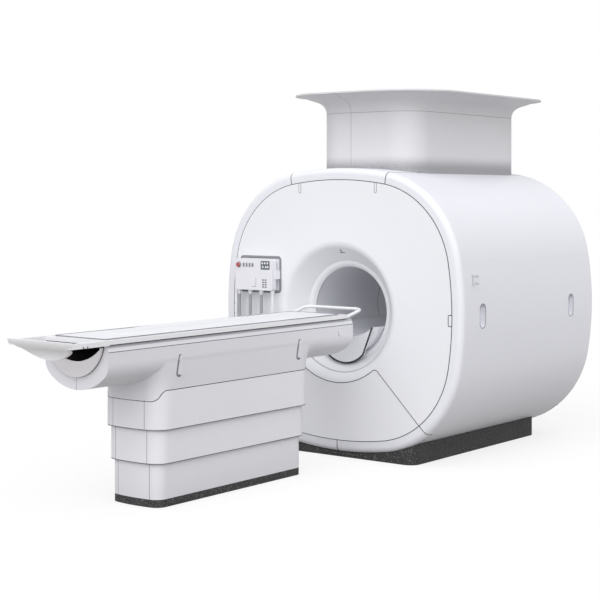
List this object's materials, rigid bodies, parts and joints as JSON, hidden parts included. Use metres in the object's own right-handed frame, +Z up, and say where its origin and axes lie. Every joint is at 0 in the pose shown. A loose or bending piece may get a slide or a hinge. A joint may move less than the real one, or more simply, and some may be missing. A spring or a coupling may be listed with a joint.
{
  "type": "mri scanner",
  "caption": "Whole-body magnetic resonance scanner: covered magnet with a round bore and a ceiling shroud, and a lifting patient table whose tabletop slides into the bore.",
  "frame": {"origin": "on the floor, under the centre of the bore", "axes": "+Z up; +Y through the bore, from the patient table to the back of the magnet; +X to the right of someone who faces the bore from the table"},
  "size_m": [2.0674, 4.72, 2.5],
  "materials": {
    "cover_white": "satin moulded skin",
    "panel_white": "satin moulded skin",
    "shroud_white": "satin paint on sheet",
    "skirt_grey": "satin moulded skin",
    "beam_grey": "satin moulded skin",
    "bore_grey": "smooth, satin",
    "plate_grey": "smooth, satin",
    "plinth_dark": "fine grain",
    "tabletop_white": "smooth laminate",
    "trough_pale": "smooth laminate",
    "pad": "soft wipe-clean cover",
    "box_white": "satin",
    "key_grey": "satin",
    "stop_red": "gloss",
    "display_dark": "clear front over a dark screen",
    "magnet_steel": "welded vessel",
    "coil_resin": "cast resin",
    "frame_steel": "powder coat",
    "column_aluminium": "drawn",
    "bright_metal": "polished"
  },
  "bodies": {
    "gantry": {"top_cover": "cover_white", "right_side_cover": "cover_white", "left_side_cover": "cover_white", "front_lower_band_right": "cover_white", "front_lower_band_left": "cover_white", "rear_lower_band": "cover_white", "front_panel": "panel_white", "lower_front_panel": "panel_white", "rear_panel": "panel_white", "right_tab": "panel_white", "left_tab": "panel_white", "right_latch": "panel_white", "left_latch": "panel_white", "bore_liner": "bore_grey", "bridge": "bore_grey", "bridge_front_plate": "plate_grey", "magnet_vessel": "magnet_steel", "service_turret": "magnet_steel", "vent_pipe": "magnet_steel", "gradient_coil": "coil_resin", "birdcage_coil": "coil_resin", "magnet_plinth": "plinth_dark", "table_plinth": "plinth_dark", "magnet_cradle": "frame_steel", "left_shroud": "shroud_white", "right_shroud": "shroud_white", "left_flare": "shroud_white", "right_flare": "shroud_white", "right_hook": "bright_metal", "left_hook": "bright_metal", "control_display": "display_dark", "control_face": "box_white", "control_housing": "box_white", "control_bracket": "box_white", "lower_skirt_nose": "skirt_grey", "lower_skirt": "skirt_grey", "foot_column_outer": "column_aluminium", "head_column_outer": "column_aluminium"},
    "middle_tier": {"middle_skirt_nose": "skirt_grey", "middle_skirt": "skirt_grey", "foot_column_middle": "column_aluminium", "head_column_middle": "column_aluminium", "middle_tie": "frame_steel"},
    "beam": {"upper_skirt_nose": "skirt_grey", "upper_skirt": "skirt_grey", "foot_column_inner": "column_aluminium", "head_column_inner": "column_aluminium", "right_beam_shell": "beam_grey", "left_beam_shell": "beam_grey", "beam_frame": "frame_steel", "trough": "trough_pale"},
    "patient_top": {"tabletop": "tabletop_white", "mattress": "pad", "foot_handle": "tabletop_white", "head_bow": "tabletop_white"},
    "key_1": {"key_1": "key_grey"},
    "key_2": {"key_2": "key_grey"},
    "key_3": {"key_3": "key_grey"},
    "key_4": {"key_4": "key_grey"},
    "emergency_stop": {"emergency_stop": "stop_red"}
  },
  "joints": [
    {"name": "table_lift", "type": "slide", "parent": "gantry", "child": "beam", "axis": [0, 0, 1], "range_m": [-0.38, 0]},
    {"name": "middle_tier_lift", "type": "slide", "parent": "gantry", "child": "middle_tier", "axis": [0, 0, 1], "range_m": [-0.19, 0]},
    {"name": "top_slide", "type": "slide", "parent": "beam", "child": "patient_top", "axis": [0, 1, 0], "range_m": [0, 1.6]},
    {"name": "key_1_press", "type": "slide", "parent": "gantry", "child": "key_1", "axis": [0, 1, 0], "range_m": [0, 0.003], "stiffness_N_per_m": 800},
    {"name": "key_2_press", "type": "slide", "parent": "gantry", "child": "key_2", "axis": [0, 1, 0], "range_m": [0, 0.003], "stiffness_N_per_m": 800},
    {"name": "key_3_press", "type": "slide", "parent": "gantry", "child": "key_3", "axis": [0, 1, 0], "range_m": [0, 0.003], "stiffness_N_per_m": 800},
    {"name": "key_4_press", "type": "slide", "parent": "gantry", "child": "key_4", "axis": [0, 1, 0], "range_m": [0, 0.003], "stiffness_N_per_m": 800},
    {"name": "emergency_stop_press", "type": "slide", "parent": "gantry", "child": "emergency_stop", "axis": [0, 1, 0], "range_m": [0, 0.005], "stiffness_N_per_m": 1500}
  ],
  "couplings": [
    {"joint": "middle_tier_lift", "follows": "table_lift", "ratio": 0.5}
  ]
}
